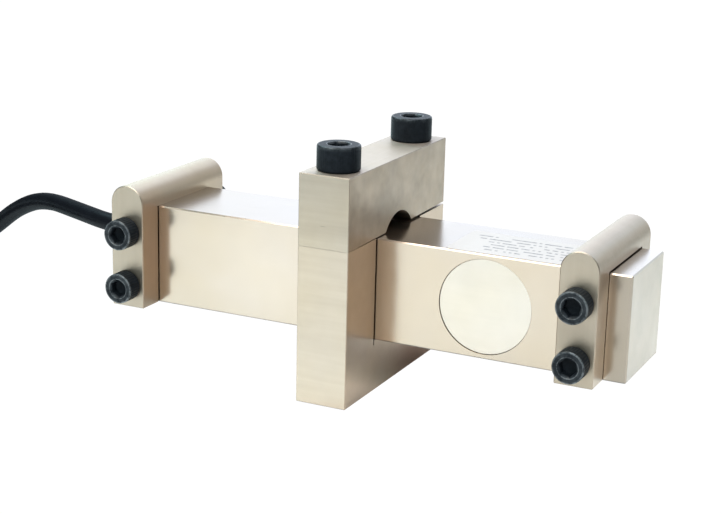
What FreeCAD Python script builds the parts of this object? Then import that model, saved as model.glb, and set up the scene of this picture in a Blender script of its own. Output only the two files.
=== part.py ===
import FreeCAD, Part
import Sketcher
import math
import os

V = FreeCAD.Vector

# Wire rope load cell. The bar is bent by the rope, which runs over the two
# half-round saddles and is held down on the bar by the clamp between them.
# Frame: origin at the centre of the yoke's underside, +X along the bar,
# +Z up. All lengths in millimetres.

doc = FreeCAD.newDocument("wire_rope_load_cell")

# ---------------------------------------------------------------- dimensions
sheet = doc.addObject("Spreadsheet::Sheet", "dims")
DIMENSIONS = [
    # spring-element bar
    ("bar_left", 89.0), ("bar_right", 90.3), ("bar_width", 32.0),
    ("bar_height", 33.0), ("bar_base", 17.0), ("edge_break", 0.4), ("plate_break", 0.2),
    # gauge pocket and its cover
    ("pocket_x", 45.0), ("pocket_height", 16.5), ("pocket_dia", 26.0),
    ("pocket_depth", 19.0), ("cover_dia", 29.9), ("cover_seat_dia", 30.1),
    ("cover_thick", 2.0), ("cover_break", 0.1), ("cover_recess", 0.35), ("seal_thick", 0.5),
    ("seal_outer", 29.6), ("seal_inner", 26.4),
    # wire bore and gland hole
    ("wire_height", 19.0), ("wire_bore_dia", 6.0), ("gland_hole_dia", 10.0),
    ("gland_hole_depth", 14.0),
    # clamp
    ("clamp_thick", 17.0), ("clamp_depth", 72.0), ("slot_width", 33.2),
    ("relief_width", 0.6), ("relief_depth", 1.8), ("cap_height", 22.7),
    ("seam_front", 0.06), ("seam_rear", 0.9), ("groove_half", 9.6),
    ("groove_radius", 11.85), ("groove_rise", 5.1),
    # clamp screws, M8
    ("clamp_screw_y", 26.5), ("clamp_screw_dia", 8.0), ("clamp_screw_length", 45.0),
    ("clamp_head_dia", 13.5), ("clamp_head_height", 8.0), ("clamp_hex", 6.0),
    ("clamp_hex_depth", 4.0), ("clamp_clear_dia", 9.0), ("clamp_tap_depth", 26.0),
    # saddles
    ("saddle_x", 77.2), ("saddle_width", 12.0), ("saddle_leg", 9.5),
    ("saddle_play", 0.45), ("saddle_rise", 7.8), ("saddle_pad", 6.0), ("saddle_relief", 0.45), ("saddle_break", 0.25),
    # saddle screws, M6
    ("saddle_screw_half_pitch", 9.0), ("saddle_screw_dia", 6.0), ("saddle_screw_length", 20.0),
    ("saddle_head_dia", 10.0), ("saddle_head_height", 6.0), ("saddle_hex", 5.0),
    ("saddle_hex_depth", 3.0), ("saddle_clear_dia", 6.6), ("saddle_tap_depth", 12.5),
    ("tap_play", 0.1), ("screw_break", 0.5),
    # inside the pocket
    ("gauge_length", 6.0), ("gauge_width", 3.0), ("gauge_thick", 0.2), ("gauge_spread", 3.2),
    ("gauge_shift", 4.5), ("board_length", 6.0), ("board_width", 10.0), ("board_thick", 1.5),
    ("board_shift", 7.5), ("core_dia", 1.2), ("core_pitch", 1.4), ("core_y", 0.85),
    # gland
    ("gland_hex", 11.0), ("gland_head", 3.0), ("gland_shank_dia", 9.9), ("gland_shank", 7.0),
    ("gland_bore_dia", 6.6), ("gland_mouth_dia", 8.4), ("washer_thick", 1.0), ("gland_seal_length", 5.0),
    ("gland_seal_dia", 9.8),
    # label
    ("label_left", 31.0), ("label_right", 71.0), ("label_front", 15.2), ("label_rear", 8.5),
    ("label_thick", 0.12), ("label_corner", 1.0),
    # cable, coil and ends
    ("cable_dia", 6.3), ("coil_x", -248.0), ("coil_y", -8.0), ("coil_radius", 37.8),
    ("coil_pitch", 6.4), ("coil_columns", 4.0), ("coil_layers", 2.0), ("coil_lift", 1.1), ("coil_slack", 0.15), ("coil_corner", 2.5),
    ("coil_stub", 26.0), ("tie_thick", 0.9), ("tie_sweep", 9.0),
    ("sleeve_dia", 6.9), ("sleeve_length", 14.0), ("lead_dia", 1.4), ("tip_dia", 0.8), ("tip_length", 6.0),
]
for row, (alias, value) in enumerate(DIMENSIONS, start=1):
    sheet.set("A%d" % row, alias)
    sheet.set("B%d" % row, repr(float(value)))
    sheet.setAlias("B%d" % row, alias)
doc.recompute()


def size(alias):
    return float(sheet.get(alias))


def bind(obj, prop, expression):
    obj.setExpression(prop, expression)


def evaluate(expression):
    return float(sheet.evalExpression(expression.replace("dims.", "")))


# ------------------------------------------------------------------- sketches
def new_body(name):
    return doc.addObject("PartDesign::Body", name)


def origin_plane(body, role):
    return [o for o in body.Origin.OriginFeatures if o.Role == role][0]


def new_sketch(body, name, role, offset=None):
    sketch = body.newObject("Sketcher::SketchObject", name)
    sketch.AttachmentSupport = [(origin_plane(body, role), "")]
    sketch.MapMode = "FlatFace"
    if offset is not None:
        bind(sketch, "AttachmentOffset.Base.z", offset)
    return sketch


def pin_point(sketch, geometry, position, x_expression, y_expression):
    for kind, expression, axis in (("DistanceX", x_expression, -2), ("DistanceY", y_expression, -1)):
        if expression == "0":
            sketch.addConstraint(Sketcher.Constraint("PointOnObject", geometry, position, axis))
        else:
            index = sketch.addConstraint(
                Sketcher.Constraint(kind, -1, 1, geometry, position, evaluate(expression)))
            bind(sketch, "Constraints[%d]" % index, expression)


def polygon(sketch, corners):
    points = [V(evaluate(x), evaluate(y), 0) for x, y in corners]
    first = None
    count = len(points)
    for i in range(count):
        g = sketch.addGeometry(Part.LineSegment(points[i], points[(i + 1) % count]), False)
        first = g if first is None else first
    for i in range(count):
        sketch.addConstraint(Sketcher.Constraint(
            "Coincident", first + i, 2, first + (i + 1) % count, 1))
    for i, (x, y) in enumerate(corners):
        pin_point(sketch, first + i, 1, x, y)


def circles(sketch, items):
    for x, y, radius in items:
        g = sketch.addGeometry(Part.Circle(V(evaluate(x), evaluate(y), 0), V(0, 0, 1), evaluate(radius)), False)
        index = sketch.addConstraint(Sketcher.Constraint("Radius", g, evaluate(radius)))
        bind(sketch, "Constraints[%d]" % index, radius)
        pin_point(sketch, g, 3, x, y)


def pad(body, sketch, name, length, symmetric=False):
    doc.recompute()
    feature = body.newObject("PartDesign::Pad", name)
    feature.Profile = sketch
    bind(feature, "Length", length)
    if symmetric:
        feature.SideType = "Symmetric"
    doc.recompute()
    return feature


def pocket(body, sketch, name, length, symmetric=False, reverse=False):
    doc.recompute()
    before = body.Shape.Volume
    feature = body.newObject("PartDesign::Pocket", name)
    feature.Profile = sketch
    feature.Reversed = reverse
    bind(feature, "Length", length)
    if symmetric:
        feature.SideType = "Symmetric"
    doc.recompute()
    removed = before - body.Shape.Volume
    if removed < 1e-3:
        raise RuntimeError("%s removes nothing" % name)
    print("pocket %-24s removes %10.2f mm3" % (name, removed))
    return feature


def break_edges(body, name, wanted, amount):
    doc.recompute()
    base = body.Tip
    names = ["Edge%d" % (i + 1) for i, e in enumerate(base.Shape.Edges) if wanted(e)]
    feature = body.newObject("PartDesign::Chamfer", name)
    feature.Base = (base, names)
    bind(feature, "Size", amount)
    doc.recompute()
    return feature


def mid(edge):
    return edge.valueAt((edge.FirstParameter + edge.LastParameter) / 2)


def close(a, b):
    return abs(a - b) < 1e-4


PARTS = []


def keep(obj, label):
    obj.Label = label
    PARTS.append(obj)


def place(obj, x="0", y="0", z="0"):
    for key, expression in (("x", x), ("y", y), ("z", z)):
        if expression != "0":
            bind(obj, "Placement.Base." + key, expression)


# ------------------------------------------------------------------ load bar
bar = new_body("load_bar_body")
place(bar, z="dims.bar_base")
section = new_sketch(bar, "bar_section", "YZ_Plane", "-dims.bar_left")
polygon(section, [
    ("-dims.bar_width / 2", "0"), ("dims.bar_width / 2", "0"),
    ("dims.bar_width / 2", "dims.bar_height"), ("-dims.bar_width / 2", "dims.bar_height")])
pad(bar, section, "bar_block", "dims.bar_left + dims.bar_right")
break_edges(bar, "bar_edges", lambda e: True, "dims.edge_break")
# stepped gauge pocket in the front face
seat = new_sketch(bar, "cover_seat", "XZ_Plane", "dims.bar_width / 2")
circles(seat, [("dims.pocket_x", "dims.pocket_height", "dims.cover_seat_dia / 2")])
pocket(bar, seat, "cover_seat_cut", "dims.cover_thick + dims.seal_thick + dims.cover_recess")
well = new_sketch(bar, "gauge_well", "XZ_Plane", "dims.bar_width / 2")
circles(well, [("dims.pocket_x", "dims.pocket_height", "dims.pocket_dia / 2")])
pocket(bar, well, "gauge_well_cut", "dims.pocket_depth")
# wire bore along the bar from its left end, with the gland hole at its mouth
bore = new_sketch(bar, "wire_bore", "YZ_Plane", "-dims.bar_left")
circles(bore, [("0", "dims.wire_height", "dims.wire_bore_dia / 2")])
pocket(bar, bore, "wire_bore_cut", "dims.bar_left + dims.pocket_x - dims.pocket_dia / 2 + 3", reverse=True)
mouth = new_sketch(bar, "gland_hole", "YZ_Plane", "-dims.bar_left")
circles(mouth, [("0", "dims.wire_height", "dims.gland_hole_dia / 2")])
pocket(bar, mouth, "gland_hole_cut", "dims.gland_hole_depth", reverse=True)
# tapped holes for the saddle screws, two beside each end on both faces
tap_spots = [(side + "dims.saddle_x", "dims.bar_height / 2 " + up + " dims.saddle_screw_half_pitch",
              "(dims.saddle_screw_dia + dims.tap_play) / 2") for side in ("", "-") for up in ("+", "-")]
front_taps = new_sketch(bar, "front_taps", "XZ_Plane", "dims.bar_width / 2")
circles(front_taps, tap_spots)
pocket(bar, front_taps, "front_taps_cut", "dims.saddle_tap_depth")
rear_taps = new_sketch(bar, "rear_taps", "XZ_Plane", "-dims.bar_width / 2")
circles(rear_taps, tap_spots)
pocket(bar, rear_taps, "rear_taps_cut", "dims.saddle_tap_depth", reverse=True)
keep(bar, "load_bar")

# ---------------------------------------------------------------- clamp yoke
yoke = new_body("clamp_yoke_body")
u_profile = new_sketch(yoke, "yoke_profile", "YZ_Plane")
half, slot, top = "dims.clamp_depth / 2", "dims.slot_width / 2", "dims.bar_base + dims.bar_height"
inner = "dims.slot_width / 2 - dims.relief_width"
deep = "dims.bar_base - dims.relief_depth"
polygon(u_profile, [
    ("-" + half, "0"), (half, "0"), (half, top), (slot, top), (slot, deep), (inner, deep),
    (inner, "dims.bar_base"), ("-(%s)" % inner, "dims.bar_base"), ("-(%s)" % inner, deep),
    ("-" + slot, deep), ("-" + slot, top), ("-" + half, top)])
pad(yoke, u_profile, "yoke_plate", "dims.clamp_thick", symmetric=True)
h_out, h_top = size("clamp_depth") / 2, size("bar_base") + size("bar_height")


def yoke_edge(e):
    m = mid(e)
    outer = close(abs(m.y), h_out) or close(m.z, 0)
    return outer and not close(m.z, h_top)


break_edges(yoke, "yoke_edges", yoke_edge, "dims.plate_break")
yoke_taps = new_sketch(yoke, "yoke_taps", "XY_Plane", top)
circles(yoke_taps, [("0", s + "dims.clamp_screw_y", "(dims.clamp_screw_dia + dims.tap_play) / 2") for s in ("", "-")])
pocket(yoke, yoke_taps, "yoke_taps_cut", "dims.clamp_tap_depth")
keep(yoke, "clamp_yoke")

# ----------------------------------------------------------------- clamp cap
cap = new_body("clamp_cap_body")
place(cap, z=top)
cap_profile = new_sketch(cap, "cap_profile", "YZ_Plane")
slope = "(dims.seam_rear - dims.seam_front) / dims.clamp_depth"
seam_in = "dims.seam_front + (dims.clamp_depth / 2 - dims.groove_half) * " + slope
seam_out = "dims.seam_front + (dims.clamp_depth / 2 + dims.groove_half) * " + slope
corners = [("dims.groove_half", seam_out), (half, "dims.seam_rear"), (half, "dims.cap_height"),
           ("-" + half, "dims.cap_height"), ("-" + half, "dims.seam_front"), ("-dims.groove_half", seam_in)]
pts = [V(evaluate(x), evaluate(y), 0) for x, y in corners]
for i in range(5):
    cap_profile.addGeometry(Part.LineSegment(pts[i], pts[i + 1]), False)
# rope groove: a circular segment through the underside
crown = V(0, size("groove_rise"), 0)
groove = Part.Arc(pts[5], crown, pts[0])
cap_profile.addGeometry(groove, False)
for i in range(4):
    cap_profile.addConstraint(Sketcher.Constraint("Coincident", i, 2, i + 1, 1))
ends = [cap_profile.getPoint(5, 1), cap_profile.getPoint(5, 2)]
start_is_rear = (ends[0] - pts[0]).Length < (ends[1] - pts[0]).Length
cap_profile.addConstraint(Sketcher.Constraint("Coincident", 0, 1, 5, 1 if start_is_rear else 2))
cap_profile.addConstraint(Sketcher.Constraint("Coincident", 4, 2, 5, 2 if start_is_rear else 1))
for i, (x, y) in enumerate(corners[:5]):
    pin_point(cap_profile, i, 1, x, y)
pin_point(cap_profile, 4, 2, corners[5][0], corners[5][1])
radius_index = cap_profile.addConstraint(Sketcher.Constraint("Radius", 5, groove.Circle.Radius if hasattr(groove, "Circle") else size("groove_radius")))
bind(cap_profile, "Constraints[%d]" % radius_index, "dims.groove_radius")
pad(cap, cap_profile, "cap_plate", "dims.clamp_thick", symmetric=True)
c_top = size("cap_height")


def cap_edge(e):
    m = mid(e)
    return close(m.z, c_top) or (close(abs(m.y), h_out) and m.z > 2)


break_edges(cap, "cap_edges", cap_edge, "dims.plate_break")
cap_holes = new_sketch(cap, "cap_holes", "XY_Plane", "dims.cap_height")
circles(cap_holes, [("0", s + "dims.clamp_screw_y", "dims.clamp_clear_dia / 2") for s in ("", "-")])
pocket(cap, cap_holes, "cap_holes_cut", "dims.cap_height + 2")
keep(cap, "clamp_cap")


# ------------------------------------------------------ socket head screws
def socket_screw(name, key):
    """One screw along Z, its head above z = 0 and its shank below."""
    body = new_body(name)
    outline = new_sketch(body, name + "_outline", "XZ_Plane")
    d, hd, hh = "dims.%s_screw_dia" % key, "dims.%s_head_dia" % key, "dims.%s_head_height" % key
    length, brk = "dims.%s_screw_length" % key, "dims.screw_break"
    polygon(outline, [
        ("0", "-" + length), (d + " / 2 - " + brk, "-" + length), (d + " / 2", "-" + length + " + " + brk),
        (d + " / 2", "0"), (hd + " / 2", "0"), (hd + " / 2", hh + " - " + brk),
        (hd + " / 2 - " + brk, hh), ("0", hh)])
    doc.recompute()
    turn = body.newObject("PartDesign::Revolution", name + "_turned")
    turn.Profile = outline
    turn.ReferenceAxis = (outline, ["V_Axis"])
    turn.Angle = 360
    doc.recompute()
    key_sketch = new_sketch(body, name + "_hexagon", "XY_Plane", hh)
    af = "dims.%s_hex" % key
    polygon(key_sketch, [
        ("dims.%s_hex / sqrt(3)" % key, "0"), ("dims.%s_hex / sqrt(12)" % key, af + " / 2"),
        ("-dims.%s_hex / sqrt(12)" % key, af + " / 2"), ("-dims.%s_hex / sqrt(3)" % key, "0"),
        ("-dims.%s_hex / sqrt(12)" % key, "-" + af + " / 2"), ("dims.%s_hex / sqrt(12)" % key, "-" + af + " / 2")])
    pocket(body, key_sketch, name + "_socket", "dims.%s_hex_depth" % key)
    return body


def copies(source, placements):
    shapes = []
    for placement in placements:
        shape = source.Shape.copy()
        shape.Placement = placement
        shapes.append(shape)
    return Part.makeCompound(shapes)


clamp_screw = socket_screw("clamp_screw", "clamp")
saddle_screw = socket_screw("saddle_screw", "saddle")
cap_top = size("bar_base") + size("bar_height") + size("cap_height")
group = doc.addObject("Part::Feature", "clamp_screws_group")
group.Shape = copies(clamp_screw, [
    FreeCAD.Placement(V(0, s * size("clamp_screw_y"), cap_top), FreeCAD.Rotation(V(0, 0, 1), a))
    for s, a in ((-1, 12), (1, 41))])
keep(group, "clamp_screws")

# ------------------------------------------------------------- rope saddles
leg_out = "dims.bar_width / 2 + dims.saddle_leg"
for side, sign in (("left", "-"), ("right", "")):
    saddle = new_body("rope_saddle_%s_body" % side)
    place(saddle, x=sign + "dims.saddle_x", z="dims.bar_base")
    arch = new_sketch(saddle, "saddle_profile_" + side, "XZ_Plane")
    w, spring = size("saddle_width") / 2, size("bar_height") + size("saddle_rise") - size("saddle_width") / 2
    spring_e = "dims.bar_height + dims.saddle_rise - dims.saddle_width / 2"
    arch.addGeometry(Part.LineSegment(V(-w, spring, 0), V(-w, 0, 0)), False)
    arch.addGeometry(Part.LineSegment(V(-w, 0, 0), V(w, 0, 0)), False)
    arch.addGeometry(Part.LineSegment(V(w, 0, 0), V(w, spring, 0)), False)
    arch.addGeometry(Part.ArcOfCircle(Part.Circle(V(0, spring, 0), V(0, 0, 1), w), 0, math.pi), False)
    arch.addConstraint(Sketcher.Constraint("Coincident", 0, 2, 1, 1))
    arch.addConstraint(Sketcher.Constraint("Coincident", 1, 2, 2, 1))
    arch.addConstraint(Sketcher.Constraint("Coincident", 2, 2, 3, 1))
    arch.addConstraint(Sketcher.Constraint("Coincident", 3, 2, 0, 1))
    pin_point(arch, 0, 2, "-dims.saddle_width / 2", "0")
    pin_point(arch, 1, 2, "dims.saddle_width / 2", "0")
    pin_point(arch, 3, 1, "dims.saddle_width / 2", spring_e)
    pin_point(arch, 3, 2, "-dims.saddle_width / 2", spring_e)
    level = arch.addConstraint(Sketcher.Constraint("DistanceY", -1, 1, 3, 3, spring))
    bind(arch, "Constraints[%d]" % level, spring_e)
    pad(saddle, arch, "saddle_block_" + side, "2 * (%s)" % leg_out, symmetric=True)
    y_out = evaluate(leg_out)
    break_edges(saddle, "saddle_edges_" + side,
                lambda e: close(abs(mid(e).y), y_out) or close(mid(e).z, 0), "dims.saddle_break")
    # slot that fits over the bar
    gap = new_sketch(saddle, "saddle_slot_" + side, "YZ_Plane")
    polygon(gap, [
        ("-dims.bar_width / 2 - dims.saddle_play", "-1"), ("dims.bar_width / 2 + dims.saddle_play", "-1"),
        ("dims.bar_width / 2 + dims.saddle_play", "dims.bar_height"),
        ("-dims.bar_width / 2 - dims.saddle_play", "dims.bar_height")])
    pocket(saddle, gap, "saddle_slot_cut_" + side, "dims.saddle_width + 4", symmetric=True)
    # the roof of the slot is cut back at its outer edge, so that it doesn't bear on the bar's end
    ease_cut = new_sketch(saddle, "saddle_relief_" + side, "XZ_Plane")
    polygon(ease_cut, [
        (sign + "dims.saddle_pad / 2", "dims.bar_height - 1"), (sign + "(dims.saddle_width / 2 + 1)", "dims.bar_height - 1"),
        (sign + "(dims.saddle_width / 2 + 1)", "dims.bar_height + dims.saddle_relief"),
        (sign + "dims.saddle_pad / 2", "dims.bar_height + dims.saddle_relief")])
    pocket(saddle, ease_cut, "saddle_relief_cut_" + side, "dims.bar_width + 2 * dims.saddle_play", symmetric=True)
    holes = new_sketch(saddle, "saddle_holes_" + side, "XZ_Plane")
    circles(holes, [("0", "dims.bar_height / 2 " + up + " dims.saddle_screw_half_pitch",
                     "dims.saddle_clear_dia / 2") for up in ("+", "-")])
    pocket(saddle, holes, "saddle_holes_cut_" + side, "2 * (%s) + 4" % leg_out, symmetric=True)
    keep(saddle, "rope_saddle_" + side)

leg_face = evaluate(leg_out)
mid_z = size("bar_base") + size("bar_height") / 2
pitch = size("saddle_screw_half_pitch")
TURNS = {"left": (7, 33, 21, 50), "right": (15, 44, 3, 27)}
for side, sign in (("left", -1), ("right", 1)):
    spots = []
    for (face, up), turn in zip(((-1, 1), (-1, -1), (1, 1), (1, -1)), TURNS[side]):
        lay = FreeCAD.Rotation(V(0, 0, 1), V(0, face, 0)).multiply(FreeCAD.Rotation(V(0, 0, 1), turn))
        spots.append(FreeCAD.Placement(V(sign * size("saddle_x"), face * leg_face, mid_z + up * pitch), lay))
    group = doc.addObject("Part::Feature", "saddle_screws_group_" + side)
    group.Shape = copies(saddle_screw, spots)
    keep(group, "saddle_screws_" + side)


# ------------------------------------------------- cover and gauge pocket
TO_FRONT = FreeCAD.Rotation(V(1, 0, 0), 90)   # turns a Z axis to -Y


def cylinder(name, radius, height, rotation=None, x="0", y="0", z="0"):
    obj = doc.addObject("Part::Cylinder", name)
    bind(obj, "Radius", radius)
    bind(obj, "Height", height)
    if rotation is not None:
        obj.Placement = FreeCAD.Placement(V(0, 0, 0), rotation)
    place(obj, x, y, z)
    return obj


def cut(name, base, tool):
    obj = doc.addObject("Part::Cut", name)
    obj.Base, obj.Tool = base, tool
    return obj


pocket_z = "dims.bar_base + dims.pocket_height"
disc = cylinder("cover_disc", "dims.cover_dia / 2", "dims.cover_thick", TO_FRONT,
                "dims.pocket_x", "-dims.bar_width / 2 + dims.cover_thick + dims.cover_recess", pocket_z)
doc.recompute()
cover = doc.addObject("Part::Chamfer", "gauge_cover_disc")
cover.Base = disc
amount = size("cover_break")
cover.Edges = [(i + 1, amount, amount) for i, e in enumerate(disc.Shape.Edges)
               if isinstance(e.Curve, Part.Circle)]
keep(cover, "gauge_cover")

ring_y = "-dims.bar_width / 2 + dims.cover_thick + dims.seal_thick + dims.cover_recess"
ring = cut("cover_seal_ring",
           cylinder("seal_disc", "dims.seal_outer / 2", "dims.seal_thick", TO_FRONT, "dims.pocket_x", ring_y, pocket_z),
           cylinder("seal_hole", "dims.seal_inner / 2", "dims.seal_thick", TO_FRONT, "dims.pocket_x", ring_y, pocket_z))
keep(ring, "cover_seal")


def block(name, length, width, height):
    obj = doc.addObject("Part::Box", name)
    bind(obj, "Length", length)
    bind(obj, "Width", width)
    bind(obj, "Height", height)
    return obj


# four foil gauges at 45 degrees on the floor of the pocket
floor_y = -size("bar_width") / 2 + size("pocket_depth")
foils = []
for i, (sx, sz) in enumerate(((-1, -1), (1, -1), (1, 1), (-1, 1))):
    foil = block("gauge_foil_%d" % i, "dims.gauge_length", "dims.gauge_thick", "dims.gauge_width")
    turn = FreeCAD.Rotation(V(0, 1, 0), 45 if sx * sz < 0 else -45)
    centre = V(size("pocket_x") + size("gauge_shift") + sx * size("gauge_spread"), floor_y - size("gauge_thick") / 2,
               size("bar_base") + size("pocket_height") + sz * size("gauge_spread"))
    middle = V(size("gauge_length") / 2, size("gauge_thick") / 2, size("gauge_width") / 2)
    foil.Placement = FreeCAD.Placement(centre - turn.multVec(middle), turn)
    foils.append(foil)
gauges = doc.addObject("Part::Compound", "strain_gauge_set")
gauges.Links = foils
keep(gauges, "strain_gauges")

board = block("terminal_board_block", "dims.board_length", "dims.board_thick", "dims.board_width")
place(board, "dims.pocket_x - dims.board_shift - dims.board_length / 2",
      "-dims.bar_width / 2 + dims.pocket_depth - dims.board_thick",
      "dims.bar_base + dims.pocket_height - dims.board_width / 2")
keep(board, "terminal_board")

# four cores in the wire bore, from the end of the jacket to the board
TO_RIGHT = FreeCAD.Rotation(V(0, 1, 0), 90)   # turns a Z axis to +X
jacket_end = "-dims.bar_left + dims.gland_shank + dims.washer_thick + dims.gland_seal_length"
cores = []
for i in range(4):
    cores.append(cylinder("core_%d" % i, "dims.core_dia / 2",
                          "dims.pocket_x - dims.board_shift + 1.5 - (%s)" % jacket_end, TO_RIGHT,
                          jacket_end, "dims.core_y",
                          "dims.bar_base + dims.wire_height + %.1f * dims.core_pitch" % (i - 1.5)))
wires = doc.addObject("Part::Compound", "bridge_wire_set")
wires.Links = cores
keep(wires, "bridge_wires")

# -------------------------------------------------------------- cable gland
wire_z = "dims.bar_base + dims.wire_height"
shank = cylinder("gland_shank_rod", "dims.gland_shank_dia / 2", "dims.gland_shank", TO_RIGHT, "-dims.bar_left", "0", wire_z)
hexagon = doc.addObject("Part::Prism", "gland_hexagon")
hexagon.Polygon = 6
bind(hexagon, "Circumradius", "dims.gland_hex / sqrt(3)")
bind(hexagon, "Height", "dims.gland_head")
hexagon.Placement = FreeCAD.Placement(V(0, 0, 0), TO_RIGHT)
place(hexagon, "-dims.bar_left - dims.gland_head", "0", wire_z)
solid = doc.addObject("Part::Fuse", "gland_solid")
solid.Base, solid.Tool = hexagon, shank
through = cylinder("gland_through", "dims.gland_bore_dia / 2", "dims.gland_shank + dims.gland_head", TO_RIGHT,
                   "-dims.bar_left - dims.gland_head", "0", wire_z)
flare = doc.addObject("Part::Cone", "gland_flare")
bind(flare, "Radius1", "dims.gland_mouth_dia / 2")
bind(flare, "Radius2", "dims.gland_bore_dia / 2")
bind(flare, "Height", "dims.gland_head + 1")
flare.Placement = FreeCAD.Placement(V(0, 0, 0), TO_RIGHT)
place(flare, "-dims.bar_left - dims.gland_head", "0", wire_z)
gland = cut("gland_flared", cut("gland_bored", solid, through), flare)
keep(gland, "gland_screw")

washer_x = "-dims.bar_left + dims.gland_shank"
washer = cut("gland_washer_ring",
             cylinder("washer_disc", "dims.gland_seal_dia / 2", "dims.washer_thick", TO_RIGHT, washer_x, "0", wire_z),
             cylinder("washer_hole", "dims.gland_bore_dia / 2", "dims.washer_thick", TO_RIGHT, washer_x, "0", wire_z))
keep(washer, "gland_washer")
seal_x = "-dims.bar_left + dims.gland_shank + dims.washer_thick"
seal = cut("gland_seal_ring",
           cylinder("seal_rod", "dims.gland_seal_dia / 2", "dims.gland_seal_length", TO_RIGHT, seal_x, "0", wire_z),
           cylinder("seal_bore", "dims.cable_dia / 2", "dims.gland_seal_length", TO_RIGHT, seal_x, "0", wire_z))
keep(seal, "gland_seal")

# -------------------------------------------------------------------- label
sticker = block("label_sheet", "dims.label_right - dims.label_left", "dims.label_front + dims.label_rear", "dims.label_thick")
place(sticker, "dims.label_left", "-dims.label_front", "dims.bar_base + dims.bar_height")
doc.recompute()
label = doc.addObject("Part::Fillet", "label_rounded")
label.Base = sticker
corner = size("label_corner")
label.Edges = [(i + 1, corner, corner) for i, e in enumerate(sticker.Shape.Edges)
               if abs(e.tangentAt(e.FirstParameter).z) > 0.99]
keep(label, "rating_label")


# -------------------------------------------------------------------- cable
def rounded_route(name, points, widest):
    """Straight runs joined by tangent arcs, each as large as its runs allow."""
    pts = [V(*p) for p in points]
    edges, at = [], pts[0]
    length = 0.0
    for i in range(1, len(pts) - 1):
        a, b, c = pts[i - 1], pts[i], pts[i + 1]
        d1, d2 = (b - a).normalize(), (c - b).normalize()
        turn = d1.getAngle(d2)
        shorter = min((b - a).Length, (c - b).Length)
        reach = 0.45 * shorter
        radius = reach / math.tan(turn / 2)
        p, q = b - d1 * reach, b + d2 * reach
        inward = (d2 - d1).normalize()
        m = b + inward * (radius / math.cos(turn / 2) - radius)
        edges.append(Part.LineSegment(at, p).toShape())
        edges.append(Part.Arc(p, m, q).toShape())
        at = q
        print("%s bend %d: turn %.1f deg, radius %.1f mm (%.1f dia)" % (
            name, i, math.degrees(turn), radius, radius / widest))
    edges.append(Part.LineSegment(at, pts[-1]).toShape())
    wire = Part.Wire(edges)
    return wire


def tube(name, points, dia):
    wire = rounded_route(name, points, dia)
    pts = [V(*p) for p in points]
    section = Part.Wire([Part.makeCircle(dia / 2, pts[0], (pts[1] - pts[0]))])
    shape = wire.makePipeShell([section], True, False)
    want = math.pi * dia * dia / 4 * wire.Length
    print("%s length %.1f mm, volume %.1f of %.1f mm3" % (name, wire.Length, shape.Volume, want))
    if abs(shape.Volume - want) > 0.01 * want:
        raise RuntimeError(name + " has the wrong volume")
    return shape


d = size("cable_dia")
out_z = size("bar_base") + size("wire_height")
inner_x = evaluate(jacket_end)
cx, cy = size("coil_x"), size("coil_y")
n_cols, n_rows = int(size("coil_columns")), int(size("coil_layers"))
pitch_r = size("coil_pitch")
r_out = size("coil_radius") + (n_cols - 1) / 2 * pitch_r
z_low = size("coil_lift") + d / 2 + 0.05
z_high = z_low + (n_rows - 1) * pitch_r
stub = size("coil_stub")

# out of the gland, level to the left and rearwards, then down to the coil
ROUTE = [
    (inner_x, 0, out_z), (-98.7, 0, out_z), (-120.5, 9.5, out_z), (-143.5, 20.1, 35.6), (-162.0, 28.0, 28.5),
    (-178.5, 33.9, 17.0), (-192.0, 37.4, 8.4), (-207.0, cy + r_out, z_low), (cx + stub, cy + r_out, z_low)]
cable = doc.addObject("Part::Feature", "signal_cable_tube")
cable.Shape = tube("signal_cable", ROUTE, d)
keep(cable, "signal_cable")


def rounded_rectangle(r0, r1, z0, z1, corner):
    """Closed outline in the XZ half-plane, corners rounded."""
    k = corner * (1 - math.sqrt(0.5))
    corners = [(r0, z0), (r1, z0), (r1, z1), (r0, z1)]
    inward = [(1, 1), (-1, 1), (-1, -1), (1, -1)]
    edges = []
    starts = []
    for (r, z), (ir, iz) in zip(corners, inward):
        along_z = V(r, 0, z + iz * corner)
        along_r = V(r + ir * corner, 0, z)
        m = V(r + ir * k, 0, z + iz * k)
        starts.append((along_z, m, along_r) if ir * iz > 0 else (along_r, m, along_z))
    for i in range(4):
        a = starts[i]
        b = starts[(i + 1) % 4]
        edges.append(Part.Arc(a[0], a[1], a[2]).toShape())
        edges.append(Part.LineSegment(a[2], b[0]).toShape())
    return Part.Wire(edges)


def ring_section():
    reach = d / 2 + size("coil_slack")
    half_w = (n_cols - 1) / 2 * pitch_r + reach
    return (size("coil_radius") - half_w, size("coil_radius") + half_w, z_low - reach, z_high + reach)


# the coil's outer shape: a round bundle with the two straight ends of the cable
r0, r1, z0, z1 = ring_section()
round_off = size("coil_corner")
bundle = Part.Face(rounded_rectangle(r0, r1, z0, z1, round_off)).revolve(V(0, 0, 0), V(0, 0, 1), 360)
come_in = Part.makeCylinder(d / 2, stub, V(0, r_out, z_low), V(1, 0, 0))
go_out = Part.makeCylinder(d / 2, stub, V(0, -r_out, z_high), V(1, 0, 0))
coil_shape = bundle.fuse([come_in, go_out]).removeSplitter()
coil = doc.addObject("Part::Feature", "cable_coil_bundle")
coil.Shape = coil_shape if coil_shape.ShapeType == "Solid" else coil_shape.Solids[0]
coil.Placement = FreeCAD.Placement(V(cx, cy, 0), FreeCAD.Rotation())
keep(coil, "cable_coil")

# free end of the cable, down from the coil to the floor
TAIL = [
    (cx + stub, cy - r_out, z_high), (cx + stub + 14, cy - r_out, z_high), (cx + stub + 31, cy - r_out + 0.7, 3.65),
    (cx + stub + 47, cy - r_out + 2.2, 3.65)]
tail = doc.addObject("Part::Feature", "cable_tail_tube")
tail.Shape = tube("cable_tail", TAIL, d)
keep(tail, "cable_tail")

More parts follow.
